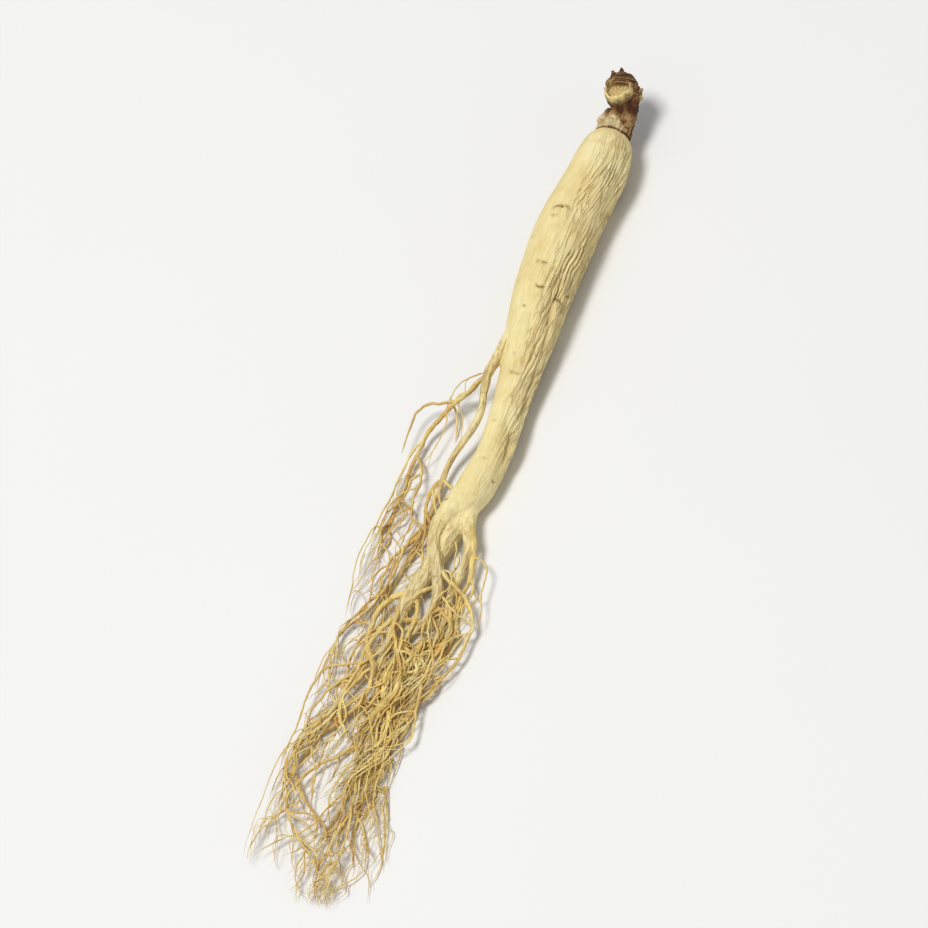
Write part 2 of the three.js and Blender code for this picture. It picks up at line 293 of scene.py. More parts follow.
limbRows = {
    "left": [
        (0.9, -39.6, 4.2, 2.4), (-0.4, -43.2, 4.5, 2.3), (-1.8, -46.6, 4.4, 1.7),
        (-2.0, -49.6, 4.1, 1.35), (-1.3, -52.0, 3.7, 1.35), (0.6, -56.0, 3.0, 1.25),
        (1.9, -60.2, 2.0, 1.05), (1.5, -64.6, 1.4, 0.8), (-0.4, -68.6, 1.2, 0.65),
        (-2.4, -73.4, 1.0, 0.4),
    ],
    "stout": [
        (1.2, -40.0, 3.0, 2.9), (0.6, -44.6, 2.6, 2.5), (-0.5, -50.2, 2.1, 2.05),
        (-1.4, -54.6, 2.0, 2.0), (-2.5, -58.8, 1.9, 1.9), (-3.5, -63.0, 1.8, 1.6),
        (-4.0, -66.4, 1.5, 1.1), (-4.3, -69.8, 1.2, 0.85), (-4.0, -74.4, 1.0, 0.7),
        (-3.3, -79.2, 0.9, 0.6), (-2.4, -84.0, 0.8, 0.5), (-2.6, -90.0, 0.75, 0.45),
        (-1.2, -98.5, 0.7, 0.4), (-1.4, -106.0, 0.65, 0.35), (-3.2, -113.5, 0.6, 0.25),
    ],
    "right": [
        (1.6, -39.8, 3.6, 2.5), (2.6, -44.2, 3.2, 1.7), (4.4, -49.4, 2.6, 1.0),
        (4.9, -54.0, 2.0, 0.85), (4.2, -59.6, 1.5, 0.75), (4.9, -66.0, 1.1, 0.6),
        (4.0, -73.0, 0.9, 0.5), (5.6, -82.0, 0.75, 0.4), (4.6, -92.0, 0.65, 0.3),
    ],
    "side": [
        (0.6, -3.0, 6.4, 2.2), (-1.1, -7.2, 6.9, 1.5), (-2.0, -11.6, 6.8, 1.1),
        (-2.9, -15.0, 6.3, 0.95), (-2.5, -18.9, 5.8, 0.85), (-1.9, -22.4, 5.3, 0.75),
        (-2.4, -25.9, 4.8, 0.7), (-3.8, -29.4, 4.0, 0.65), (-5.2, -33.0, 3.0, 0.6),
        (-5.8, -38.0, 2.0, 0.55), (-6.0, -45.0, 1.3, 0.5), (-6.9, -53.0, 0.9, 0.45),
        (-8.4, -60.5, 0.75, 0.4), (-10.4, -67.0, 0.65, 0.3),
    ],
}
runnerRows = {
    "thigh": [
        (-0.4, -9.0, 6.6, 0.8), (-3.2, -15.2, 6.0, 0.55), (-6.4, -19.2, 4.8, 0.5),
        (-9.6, -23.0, 3.6, 0.45), (-12.2, -28.0, 2.4, 0.42), (-13.4, -34.4, 1.4, 0.4),
        (-13.6, -42.0, 0.8, 0.35), (-15.4, -50.0, 0.6, 0.25),
    ],
    "loopOut": [
        (-3.0, -60.6, 2.2, 0.9), (-5.4, -62.4, 2.9, 0.65), (-7.6, -65.4, 2.6, 0.6),
        (-8.5, -69.2, 2.2, 0.55), (-7.6, -73.2, 2.2, 0.5), (-5.0, -76.8, 2.6, 0.5),
        (-3.8, -80.8, 2.8, 0.48), (-4.6, -84.8, 2.2, 0.45), (-7.4, -88.4, 1.4, 0.4),
        (-11.0, -92.6, 0.8, 0.35), (-12.6, -99.0, 0.6, 0.25),
    ],
    "loopBack": [
        (-2.0, -72.6, 1.2, 0.5), (0.6, -76.6, 1.9, 0.48), (1.3, -80.8, 2.4, 0.46),
        (-0.4, -84.2, 2.4, 0.44), (-1.4, -87.2, 2.0, 0.42), (-0.2, -90.6, 1.5, 0.4),
        (2.2, -95.4, 0.9, 0.36), (1.8, -103.0, 0.65, 0.3), (3.4, -111.0, 0.6, 0.25),
    ],
    "outer": [
        (2.6, -43.0, 3.8, 1.0), (4.9, -47.6, 3.9, 0.6), (6.7, -51.8, 3.3, 0.55),
        (7.0, -56.4, 2.3, 0.5), (6.4, -61.4, 1.4, 0.45), (7.4, -68.0, 0.8, 0.4),
        (6.6, -75.0, 0.65, 0.25),
    ],
}


# materials

def socket(node, name):
    # the enabled input of that name: a mix node has several that share one
    return next(s for s in node.inputs if s.name == name and s.enabled)


class Shader:
    # a small helper round one material's node tree
    def __init__(self, name):
        self.material = bpy.data.materials.new(name)
        self.material.use_nodes = True
        self.tree = self.material.node_tree
        self.tree.nodes.clear()
        self.output = self.add("ShaderNodeOutputMaterial")
        self.surface = self.add("ShaderNodeBsdfPrincipled")
        self.tree.links.new(self.surface.outputs[0], self.output.inputs[0])

    def add(self, kind, **settings):
        # a new node with these settings
        node = self.tree.nodes.new(kind)
        for key, value in settings.items():
            setattr(node, key, value)
        return node

    def feed(self, target, source):
        # links a socket, or sets a plain number or colour on the target itself
        if isinstance(source, bpy.types.NodeSocket):
            self.tree.links.new(source, target)
        else:
            target.default_value = source

    def place(self, stretch=(1, 1, 1)):
        # the object's own coordinates, times stretch
        spot = self.add("ShaderNodeTexCoord").outputs["Object"]
        if stretch == (1, 1, 1):
            return spot
        turn = self.add("ShaderNodeMapping")
        self.feed(turn.inputs["Vector"], spot)
        self.feed(turn.inputs["Scale"], stretch)
        return turn.outputs[0]

    def noise(self, scale, detail=4, rough=0.55, stretch=(1, 1, 1), twist=0):
        node = self.add("ShaderNodeTexNoise")
        self.feed(node.inputs["Vector"], self.place(stretch))
        self.feed(node.inputs["Scale"], scale)
        self.feed(node.inputs["Detail"], detail)
        self.feed(node.inputs["Roughness"], rough)
        self.feed(node.inputs["Distortion"], twist)
        return node.outputs["Fac"]

    def span(self, value, low, high, start=0.0, end=1.0):
        # low to high becomes start to end, and what lies outside is held at the ends
        node = self.add("ShaderNodeMapRange")
        for key, number in zip(("Value", "From Min", "From Max", "To Min", "To Max"),
                               (value, low, high, start, end)):
            self.feed(node.inputs[key], number)
        return node.outputs[0]

    def math(self, operation, a, b=0.0, clamp=False):
        node = self.add("ShaderNodeMath", operation=operation, use_clamp=clamp)
        self.feed(node.inputs[0], a)
        self.feed(node.inputs[1], b)
        return node.outputs[0]

    def valleys(self, scale, width, stretch):
        # 1 along the thin winding lines where a noise passes its middle, 0 past width
        winding = self.noise(scale, 2, 0.5, stretch, 0.25)
        off = self.math("ABSOLUTE", self.math("SUBTRACT", winding, 0.5))
        return self.span(off, 0.0, width, 1.0, 0.0)

    def mix(self, factor, a, b, how="MIX"):
        node = self.add("ShaderNodeMix", data_type="RGBA", blend_type=how)
        self.feed(socket(node, "Factor"), factor)
        self.feed(socket(node, "A"), a)
        self.feed(socket(node, "B"), b)
        return next(s for s in node.outputs if s.enabled)

    def blend(self, value, stops):
        # a colour read from stops of place and colour
        node = self.add("ShaderNodeValToRGB")
        self.feed(node.inputs[0], value)
        band = node.color_ramp
        while len(band.elements) < len(stops):
            band.elements.new(0.5)
        for element, (place, colour) in zip(band.elements, stops):
            element.position = place
            element.color = (*colour, 1)
        return node.outputs[0]

    def shaded(self, colour, shade):
        # the colour times a grey
        grey = self.blend(shade, [(0, (0, 0, 0)), (1, (1, 1, 1))])
        return self.mix(1.0, colour, grey, "MULTIPLY")

    def attribute(self, name):
        return self.add("ShaderNodeAttribute", attribute_name=name).outputs["Fac"]

    def bump(self, height, distance, strength, under=None):
        # tilts the surface's normal by height, on top of another bump
        node = self.add("ShaderNodeBump")
        self.feed(node.inputs["Height"], height)
        self.feed(node.inputs["Distance"], distance)
        self.feed(node.inputs["Strength"], strength)
        if under is not None:
            self.feed(node.inputs["Normal"], under)
        return node.outputs[0]


def driedSkin(name, look):
    # cream skin: soft patches, streaks along the root, brown in the creases and stains; the crease and
    # stain attributes also carry painted shade
    s = Shader(name)
    patches = s.noise(look["patchScale"], detail=5, rough=0.6)
    colour = s.blend(patches, list(zip((0.3, 0.5, 0.72), look["creams"])))
    streaks = s.noise(look["streakScale"], detail=3, stretch=(1, look["streakStretch"], 1))
    streakShade = s.span(streaks, 0.35, 0.65, 1 - look["streakDepth"], 1.0)
    colour = s.shaded(colour, streakShade)
    blotches = s.span(s.noise(look["blotchScale"], detail=4), 0.42, 0.66)
    stainAndShade = s.math("MULTIPLY", s.attribute("stainAndShade"), s.span(blotches, 0, 1, 0.65, 1.0))
    colour = s.mix(stainAndShade, colour, (*look["stainAndShade"], 1))
    creaseAndShade = s.math("MULTIPLY", s.attribute("creaseAndShade"), look["creaseShare"])
    colour = s.mix(creaseAndShade, colour, (*look["creaseAndShade"], 1))
    # fine valley lines browned where fold allows: partly the skin's own brown, partly painted shade along
    # the grooves that the bump cuts
    fold = s.attribute("fold")
    lines = s.valleys(look["lineScale"], look["lineWidth"], (1, look["lineStretch"], 1))
    lineShade = s.math("MULTIPLY", s.math("MULTIPLY", lines, fold), look["lineShare"])
    colour = s.mix(lineShade, colour, (*look["line"], 1))
    # marks across the root: a dark ragged line where markOff passes zero, paler brown beside it
    share = s.attribute("markShare")
    ragged = s.span(s.noise(look["markScale"], detail=3), 0.25, 0.75, -0.24, 0.24)
    off = s.math("ABSOLUTE", s.math("ADD", s.attribute("markOff"), ragged))
    core = s.math("MULTIPLY", s.span(off, 0.05, 0.32, 1.0, 0.0), share)
    bloom = s.math("MULTIPLY", s.span(off, 0.1, 0.7, 0.35, 0.0), share)
    colour = s.mix(bloom, colour, (*look["creaseAndShade"], 1))
    colour = s.mix(core, colour, (*look["mark"], 1))
    specks = s.span(s.noise(look["speckScale"], detail=2), 0.68, 0.76, 0, look["speckShare"])
    colour = s.mix(specks, colour, (*look["speck"], 1))
    s.feed(s.surface.inputs["Base Color"], colour)
    rough = s.span(s.noise(look["roughScale"], detail=3), 0.3, 0.7, *look["roughness"])
    s.feed(s.surface.inputs["Roughness"], rough)
    s.feed(s.surface.inputs["Specular IOR Level"], look["specular"])
    fibres = s.noise(look["fibreScale"], detail=4, rough=0.65, stretch=(1, look["streakStretch"], 1))
    cuts = s.bump(s.math("SUBTRACT", 1.0, core), look["markDepth"], 0.9)
    grooves = s.bump(s.math("SUBTRACT", 1.0, lines), look["lineHeight"], fold, cuts)
    coarse = s.bump(fibres, look["fibreHeight"], 0.8, grooves)
    grain = s.noise(look["grainScale"], detail=3, rough=0.7)
    fine = s.bump(grain, look["grainHeight"], 0.7, coarse)
    s.feed(s.surface.inputs["Normal"], fine)
    return s.material


def barkSkin(name, look):
    # rhizome bark: tan to dark brown by the bark attribute, with painted shadow under the scar's lip, and
    # pale pith inside the scars, with a painted highlight on the lip
    s = Shader(name)
    wander = s.span(s.noise(look["wanderScale"], detail=5, rough=0.65), 0.3, 0.7, -0.22, 0.22)
    dark = s.math("ADD", s.attribute("barkAndShade"), wander, clamp=True)
    colour = s.blend(dark, list(zip((0.05, 0.35, 0.65, 0.95), look["barks"])))
    flakes = s.span(s.noise(look["flakeScale"], detail=4, rough=0.7), 0.45, 0.62, 0.72, 1.1)
    colour = s.shaded(colour, flakes)
    mottle = s.span(s.noise(look["mottleScale"], detail=4), 0.3, 0.6, 0.6, 1.0)
    pithAndHighlight = s.math("MULTIPLY", s.attribute("pithAndHighlight"), mottle)
    colour = s.mix(pithAndHighlight, colour, (*look["pithAndHighlight"], 1))
    s.feed(s.surface.inputs["Base Color"], colour)
    rough = s.span(s.noise(look["roughScale"]), 0.3, 0.7, *look["roughness"])
    s.feed(s.surface.inputs["Roughness"], rough)
    s.feed(s.surface.inputs["Specular IOR Level"], look["specular"])
    lifted = s.noise(look["liftScale"], detail=5, rough=0.7, twist=0.6)
    scales = s.bump(lifted, look["flakeHeight"], 0.9)
    grain = s.noise(look["grainScale"], detail=3, rough=0.7)
    fine = s.bump(grain, look["grainHeight"], 0.7, scales)
    s.feed(s.surface.inputs["Normal"], fine)
    return s.material


skinLook = {
    "creams": ((0.77, 0.60, 0.255), (0.85, 0.71, 0.34), (0.91, 0.80, 0.43)),
    "stainAndShade": (0.29, 0.125, 0.035),
    "creaseAndShade": (0.40, 0.225, 0.065),
    "creaseShare": 0.72,
    "mark": (0.29, 0.12, 0.026),
    "markDepth": 0.0003,
    "speck": (0.45, 0.27, 0.1),
    "speckShare": 0.35,
    "patchScale": 130,
    "blotchScale": 420,
    "markScale": 2600,
    "speckScale": 1500,
    "roughScale": 900,
    "grainScale": 5200,
    "streakScale": 1500,
    "streakStretch": 0.14,
    "streakDepth": 0.06,
    "line": (0.50, 0.31, 0.11),
    "lineScale": 950,
    "lineStretch": 0.13,
    "lineWidth": 0.06,
    "lineShare": 0.5,
    "lineHeight": 0.00016,
    "fibreScale": 2100,
    "fibreHeight": 0.00014,
    "grainHeight": 0.00004,
    "roughness": (0.66, 0.88),
    "specular": 0.3,
}
rootletLook = dict(
    skinLook,
    creams=((0.76, 0.50, 0.13), (0.89, 0.69, 0.245), (0.97, 0.86, 0.43)),
    stainAndShade=(0.50, 0.20, 0.03),
    patchScale=170,
    lineScale=1900,
    lineShare=0.35,
    lineHeight=0.0001,
    fibreHeight=0.0001,
)
barkLook = {
    "barks": ((0.72, 0.58, 0.33), (0.44, 0.28, 0.12), (0.25, 0.12, 0.04), (0.085, 0.03, 0.01)),
    "pithAndHighlight": (0.98, 0.78, 0.34),
    "wanderScale": 650,
    "flakeScale": 2400,
    "mottleScale": 1800,
    "roughScale": 1300,
    "liftScale": 1900,
    "grainScale": 6000,
    "flakeHeight": 0.00016,
    "grainHeight": 0.00005,
    "roughness": (0.7, 0.95),
    "specular": 0.22,
}
skinMaterial = driedSkin("driedRootSkin", skinLook)
rootletMaterial = driedSkin("driedRootletSkin", rootletLook)
barkMaterial = barkSkin("rhizomeBark", barkLook)
print("materials made")


# taproot, fused with the feet of everything that leaves it

taprootBody = {
    "grain": 0.133,
    "stretch": 2.5,
    "smoothing": 16,
    "foldsFrom": (86, 132),
    "foldsTo": (-30, 4),
    "foldDepth": 1.0,
    "folds": 33,
    "fineFolds": 58,
    "drift": 0.024,
    "lumpHeight": 0.2,
    "seed": 11,
}
# Short marks across the taproot: y, angle round from the left by the top (degrees), half its
# length in mm, how much it arches, depth, and how brown it is.
crossMarks = [
    (20.3, 88, 1.8, 0.35, 0.5, 1.0), (18.0, 82, 0.9, -0.4, 0.2, 0.35), (7.8, 98, 0.8, 0.08, 0.2, 0.7),
    (2.7, 105, 0.9, -0.25, 0.42, 1.0), (7.9, 88, 0.8, -0.2, 0.12, 0.35), (-1.5, 81, 0.4, 0.1, 0.14, 0.6),
    (1.8, 150, 0.8, 0.2, 0.3, 0.9), (-15.0, 101, 1.4, -0.3, 0.3, 0.5), (-11.2, 82, 0.5, 0.2, 0.1, 0.3),
    (-19.5, 112, 0.5, 0.1, 0.12, 0.35), (-41.4, 42, 0.45, 0.1, 0.35, 1.0), (-42.7, 49, 0.5, 0.1, 0.35, 1.0),
    (13.6, 48, 0.9, 0.2, 0.1, 0.3), (-25.0, 75, 0.6, 0.1, 0.1, 0.25), (-33.4, 96, 0.9, 0.1, 0.12, 0.3),
]


def taprootCentre(y):
    # the taproot's axis and radius at each y
    line, _ = smoothLine(taprootRows, 400)
    line = line[::-1]
    return [np.interp(y, line[:, 1], line[:, k]) for k in (0, 2, 3)]


def scatteredMarks(count, seed):
    # more marks, on the flank and underside that the photograph hides
    k = np.arange(count)
    return np.stack([
        -40 + 72 * chance(seed, k),
        135 + 235 * chance(seed + 1, k),
        0.4 + 1.2 * chance(seed + 2, k) ** 2,
        -0.3 + 0.7 * chance(seed + 5, k),
        0.1 + 0.2 * chance(seed + 3, k),
        0.2 + 0.6 * chance(seed + 4, k),
    ], axis=1)


def ridges(local, stretch, seed, soft):
    # rounded folds with narrow valleys between: the size of smooth noise stretched along the
    # root, its valleys eased by soft; with it, how near each point is to a valley
    size = np.abs(smoothNoise(local * stretch, seed))
    return size**2 / (size + soft) * (1 + soft), ramp(-size, -1.8 * soft, 0.0)


def pleats(angle, local, count, drift, seed):
    # folds side by side along the root: the size of a sine of the angle round it, which
    # drifts for each mm along and is bent by smooth noise; each fold fades in and out by
    # another noise; with it, how near each point is to a valley
    bend = 1.4 * smoothNoise(local * (0.22, 0.07, 0.22), seed)
    bend += 0.52 * smoothNoise(local * (0.6, 0.25, 0.6), seed + 1)
    bend += 0.16 * smoothNoise(local * (1.2, 0.6, 1.2), seed + 3)
    size = np.abs(np.sin(0.5 * count * (angle - drift * local[:, 1]) + np.pi * bend))
    shown = 0.15 + 0.85 * ramp(smoothNoise(local * (0.55, 0.2, 0.55), seed + 2), -0.35, 0.3)
    return (size**2 / (size + 0.15) * 1.15 - 0.55) * shown, ramp(-size, -0.42, 0.0) * shown


def taprootRelief(points, settings):
    # height over the smooth skin: folds that run along the root on its right flank and
    # underside, shallow dimples everywhere, a furrow with a strand beside it down the right
    # side, rings at the shoulder, and the marks across it
    x, y, z = points.T
    cx, cz, radius = taprootCentre(y)
    across, up = x - cx, z - cz
    angle = np.arctan2(up, -across)
    degrees = (np.degrees(angle) + 40) % 360 - 40
    local = np.stack([across * 5.2 / radius, y, up * 5.2 / radius], axis=1)
    seed = settings["seed"]
    wobble = 16 * layeredNoise(local * (0.25, 0.09, 0.25), seed + 40, 2)
    flank = ramp(degrees + wobble, *settings["foldsFrom"])
    flank += ramp(-degrees - wobble, *settings["foldsTo"])
    flank *= 1 - 0.3 * ramp(-y, 10, 22) - 0.42 * ramp(-y, 25, 36)
    ends = ramp(y, -45, -38) * ramp(-y, -40.5, -37)
    broad, broadValley = ridges(local, (0.42, 0.06, 0.42), seed, 0.08)
    main, mainValley = pleats(angle, local, settings["folds"], settings["drift"], seed + 10)
    fine, fineValley = pleats(angle, local, settings["fineFolds"], settings["drift"], seed + 20)
    depth = settings["foldDepth"] * ends * radius / 5.5
    height = depth * flank * (0.45 * (broad - 0.35) + 0.44 * main + 0.15 * fine)
    height += depth * (1 - flank) * (0.16 * (broad - 0.35) + 0.05 * main + 0.035 * fine)
    height += settings["lumpHeight"] * layeredNoise(local * (0.3, 0.15, 0.3), seed + 4, 3)
    # painted shade: the 0.1 browns the whole right flank and underside, and the fold valleys are browned,
    # partly their own brown and partly painted shade
    creaseAndShade = flank * (0.1 + 0.2 * broadValley + 0.75 * mainValley + 0.35 * fineValley) * ends
    creaseAndShade += (1 - flank) * ends * (0.14 * mainValley + 0.1 * fineValley)
    furrowAngle = np.radians(np.interp(y, (-33, -25, -15, -5, 6), (167, 156, 164, 147, 138)))
    away = (angle - furrowAngle + np.pi) % (2 * np.pi) - np.pi
    run = away * radius + 0.5 * smoothNoise(local * (0, 0.35, 0), seed + 5)
    inFurrow = ramp(y, -36, -30) * ramp(-y, -9, -1)
    broken = inFurrow * ramp(layeredNoise(local * (0.1, 0.2, 0.1), seed + 6, 2), -0.5, 0.2)
    furrow = np.exp(-((run / 0.5) ** 2)) * broken
    strand = np.exp(-(((run - 1.3) / 0.8) ** 2)) * inFurrow
    height += 0.3 * strand - 0.42 * furrow
    # the furrow's groove is browned, partly its own brown and partly painted shade
    creaseAndShade += 0.6 * furrow
    stainAndShade, markOff, markShare, nearest = (np.zeros(len(y)) for _ in range(4))
    marks = np.concatenate([np.array(crossMarks), scatteredMarks(30, 5)])
    ragged = smoothNoise(local * (1.9, 1.2, 1.9), seed + 7)
    for markY, markAngle, half, arch, deep, brown in marks:
        around = ((angle - math.radians(markAngle) + np.pi) % (2 * np.pi) - np.pi) * radius
        breadth = 0.22 + 0.07 * half
        dip = y - markY + arch * (around / half) ** 2 + 0.16 * ragged
        within = np.exp(-((around / half) ** 4)) * (0.75 + 0.4 * ragged)
        cut = within * np.exp(-((dip / breadth) ** 2))
        lip = within * np.exp(-(((dip + 3 * breadth) / (2.2 * breadth)) ** 2))
        height += deep * (0.45 * lip - cut)
        near = within * np.exp(-(dip**2))
        closer = near > nearest
        nearest[closer] = near[closer]
        markOff[closer] = dip[closer]
        markShare[closer] = (brown * within * ramp(-np.abs(dip), -1.0, -0.7))[closer]
    # rings crowd below the shoulder, and the skin darkens where the rhizome stands on it
    rings = creaseLines(
        np.stack([across * 0.22, y * 0.9 + 0.4 * smoothNoise(local * 0.6, 3), up * 0.22], 1), 8, 0.3
    )
    nearTop = ramp(y, 32, 38)
    height -= 0.1 * rings * nearTop
    creaseAndShade += 0.25 * rings * nearTop
    collar = ramp(y + 0.5 * smoothNoise(local * 0.9, 7), 39.6, 40.8)
    stainAndShade = np.maximum(stainAndShade, 0.6 * collar)
    # painted shade: a faint tan darkening in the hollows between the feet of the legs
    stainAndShade = np.maximum(stainAndShade, 0.3 * ramp(-y, 40, 46) * ramp(smoothNoise(local * 0.5, 9), -0.1, 0.6))
    return height, {
        "creaseAndShade": np.clip(creaseAndShade, 0, 1),
        "stainAndShade": np.clip(stainAndShade, 0, 1),
        "fold": 0.25 + 0.75 * flank * ends,
        "markOff": markOff,
        "markShare": np.clip(0.95 * markShare, 0, 1),
    }


def plainSkin(rows, sides, perMm, scale=(1.0, 1.0), cut=None):
    # an unworked skin round a centreline, or round its first cut rows; its radius is scaled
    # from the first number of scale to the second along it
    line, _ = spacedLine(rows[:cut], perMm)
    radius = line[:, 3] * np.interp(np.linspace(0, 1, len(line)), (0, 1), scale)
    return carryRing(line[None, :, :3], np.repeat(radius[None, :, None], sides, axis=2))


# The feet in the taproot: rows, points round, points for each mm, how the radius is scaled
# from the foot outwards, and how many of the rows are used.
footRules = [
    (limbRows["left"], 24, 3, (1.06, 0.82), 5),
    (limbRows["stout"], 28, 3, (1.04, 0.82), 4),
    (limbRows["right"], 24, 3, (1.1, 0.8), 4),
    (limbRows["side"], 24, 3, (1.15, 0.8), 4),
    (runnerRows["thigh"], 16, 4, (1.5, 0.8), 2),
    (runnerRows["outer"], 16, 4, (1.4, 0.8), 2),
    (rhizomeRows, 28, 3, (1.0, 0.85), 3),
    (strapRows[::-1], 24, 3, (1.0, 0.85), 2),
]
feet = [plainSkin(*rule) for rule in footRules]
bodyShape, bodyNormals = fuse(
    joined([plainSkin(taprootRows, 72, 3)] + feet),
    taprootBody["grain"], taprootBody["smoothing"], taprootBody["stretch"],
)
bodyHeight, bodyLook = taprootRelief(bodyShape[0], taprootBody)
bodyPoints = bodyShape[0] + bodyNormals * bodyHeight[:, None]
taproot = newPiece(
    "taproot", (bodyPoints, *bodyShape[1:]), skinMaterial, bodyLook
)
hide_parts("ginseng_root")


# rhizome

rhizomeBody = {
    "grain": 0.1,
    "smoothing": 3,
    "twist": 0.34,
    "strapTwist": 0.22,
    "flake": 0.13,
    "seed": 31,
}
# Stem scars: centre, the way the bowl faces, radius, bowl depth, how pale its pith is.
scars = [
    ((3.3, 47.6, 11.0), (-0.14, 0.08, 0.98), 2.55, 0.6, 1.0),
    ((0.9, 43.6, 7.9), (-0.8, 0.1, 0.6), 1.6, 0.4, 0.25),
    ((5.6, 50.0, 7.6), (0.8, 0.55, -0.2), 1.8, 0.7, 0.6),
]
lipSide = -0.35 * viewRight - 0.9 * viewUp
headMiddle = np.array((3.2, 48.7, 8.92))
# Dry bud scales over the head: places in mm to the right of the head's middle, above it and
# out from it as the photograph shows it, then half the width there.
budScales = [
    [
        (2.9, 0.9, 0.6, 0.9), (2.0, 1.9, 2.1, 1.0), (0.5, 2.2, 2.8, 0.85),
        (-1.1, 2.2, 2.45, 0.6), (-2.2, 1.9, 1.7, 0.15),
    ],
    [
        (2.7, 1.9, 0.3, 0.7), (1.9, 2.7, 1.5, 1.0), (0.4, 3.0, 2.2, 1.0),
        (-1.1, 2.9, 1.9, 0.7), (-2.0, 2.6, 1.3, 0.12),
    ],
    [(1.5, 3.0, 0.1, 0.6), (0.7, 3.5, 1.2, 0.8), (-0.5, 3.5, 1.6, 0.7), (-1.5, 3.3, 1.3, 0.12)],
    [(3.3, 0.2, 0.2, 0.7), (3.0, 0.1, 1.7, 0.85), (2.3, 0.3, 2.6, 0.7), (1.5, 0.7, 3.1, 0.15)],
    [(-2.6, 0.4, 0.3, 0.6), (-3.0, 1.0, 0.9, 0.6), (-2.9, 1.9, 1.1, 0.45), (-2.3, 2.8, 1.0, 0.1)],
    [(2.4, -1.0, 0.6, 0.6), (3.1, -0.4, 1.1, 0.45), (3.9, 0.3, 1.2, 0.1)],
    [(-1.2, 3.0, 0.4, 0.5), (-1.6, 3.6, 0.8, 0.4), (-1.9, 4.1, 0.9, 0.08)],
]
# The ridge that runs down from the spur, and the folds under the lip, given the same way.
neckFolds = [
    [(3.2, -0.2, 1.0, 0.4), (2.5, -1.2, 2.0, 0.5), (1.5, -2.3, 1.9, 0.5), (0.9, -4.0, 1.3, 0.3)],
    [(-2.4, -2.4, 0.6, 0.5), (-1.3, -2.9, 1.3, 0.55), (0.2, -3.1, 1.6, 0.45), (1.3, -2.9, 1.2, 0.3)],
    [(-3.4, -5.6, 0.2, 0.6), (-2.4, -5.2, 1.6, 0.7), (-1.0, -5.4, 2.0, 0.6), (0.4, -6.2, 1.6, 0.35)],
]
# Dry points left by bud scales: foot, tip, radius at the foot.
dryPoints = [
    ((5.6, 48.2, 8.9), (7.4, 49.8, 9.6), 0.8),
    ((1.3, 50.0, 10.0), (0.5, 51.9, 11.0), 1.0),
    ((2.5, 50.8, 10.2), (2.2, 53.0, 10.9), 1.0),
]


def unit(vector):
    # the vector over its length
    vector = np.asarray(vector, float)
    return vector / np.linalg.norm(vector)


def scarAxes(faces):
    # the bowl's own axes: wide, long, and out of its mouth
    out = unit(faces)
    up = np.array((0.0, 1.0, 0.0))
    turn = unit(np.cross(up, out))
    half = math.acos(np.clip(up @ out, -1, 1))
    matrix = np.array(Matrix.Rotation(half, 3, Vector(turn)))
    return matrix @ (1, 0, 0), matrix @ (0, 0, 1), out


def knob(at, faces, radius):
    # a flat ball, wider than long, centred a quarter of its radius behind the scar
    wide, long, out = scarAxes(faces)
    t = np.linspace(0, np.pi, 26)[:, None]
    path = np.array(at) + out * radius * (-0.25 - 0.62 * np.cos(t))
    angle = ringAngles(36)[:, None]
    ring = 1.15 * np.cos(angle) * wide + 0.9 * np.sin(angle) * long
    rings = path[:, None] + radius * np.sin(t)[:, None] * ring
    return closedSkin(rings[None], path[:1], path[-1:])


def onHead(places):
    # rows right, above and out of the head's middle, turned to the drawing's own directions
    rows = np.array(places, float)
    rows[:, :3] = headMiddle + rows[:, :3] @ np.stack([viewRight, viewUp, viewOut])
    return rows


def aroundHead(places, stations):
    # a line that hugs the head, and the way out of the head's middle at each of its points
    line, _ = smoothLine(onHead(places), stations)
    upward = line[:, :3] - headMiddle
    upward /= np.linalg.norm(upward, axis=1, keepdims=True)
    return line, upward


def neckFold(places):
    # a soft ridge: a ring 0.8 as thick as it is wide, carried along a line on the head
    line, upward = aroundHead(places, 40)
    width = np.repeat(np.maximum(line[:, 3], 0.12)[None, :, None], 24, axis=2)
    return carryRing(line[None, :, :3], width, upward[None], 0.8)


def dryPoint(foot, tip, radius):
    # a slim bent spike from its foot to its tip
    foot, tip = np.array(foot), np.array(tip)
    rows = [
        (*(foot + (tip - foot) * k), radius * size)
        for k, size in ((0, 1.0), (0.35, 0.72), (0.7, 0.42), (1.0, 0.16))
    ]
    return plainSkin(rows, 12, 6)


def rhizomeSkin(rows, sides, perMm, twist, years, seed):
    # ridges that wind round the line, and a swelling with a sharp waist for each year
    line, _ = spacedLine(rows, perMm)
    share = np.linspace(0, 1, len(line))[:, None]
    angle = ringAngles(sides)[None, :]
    spot = stacked(np.cos(angle) * 1.6, np.sin(angle) * 1.6, share * 5)
    winding = np.abs(np.sin(2.5 * angle + 4.2 * share + 0.9 * smoothNoise(spot, seed)))
    year = np.abs(np.sin(np.pi * years * share + 0.5 * smoothNoise(spot * 0.8, seed + 1)))
    relief = twist * (winding**0.6 - 0.6) + 0.8 * twist * (year**0.5 - 0.6)
    ends = np.minimum(1, 6 * (1 - share))
    return carryRing(line[None, :, :3], (line[:, 3:4] + relief * ends)[None])


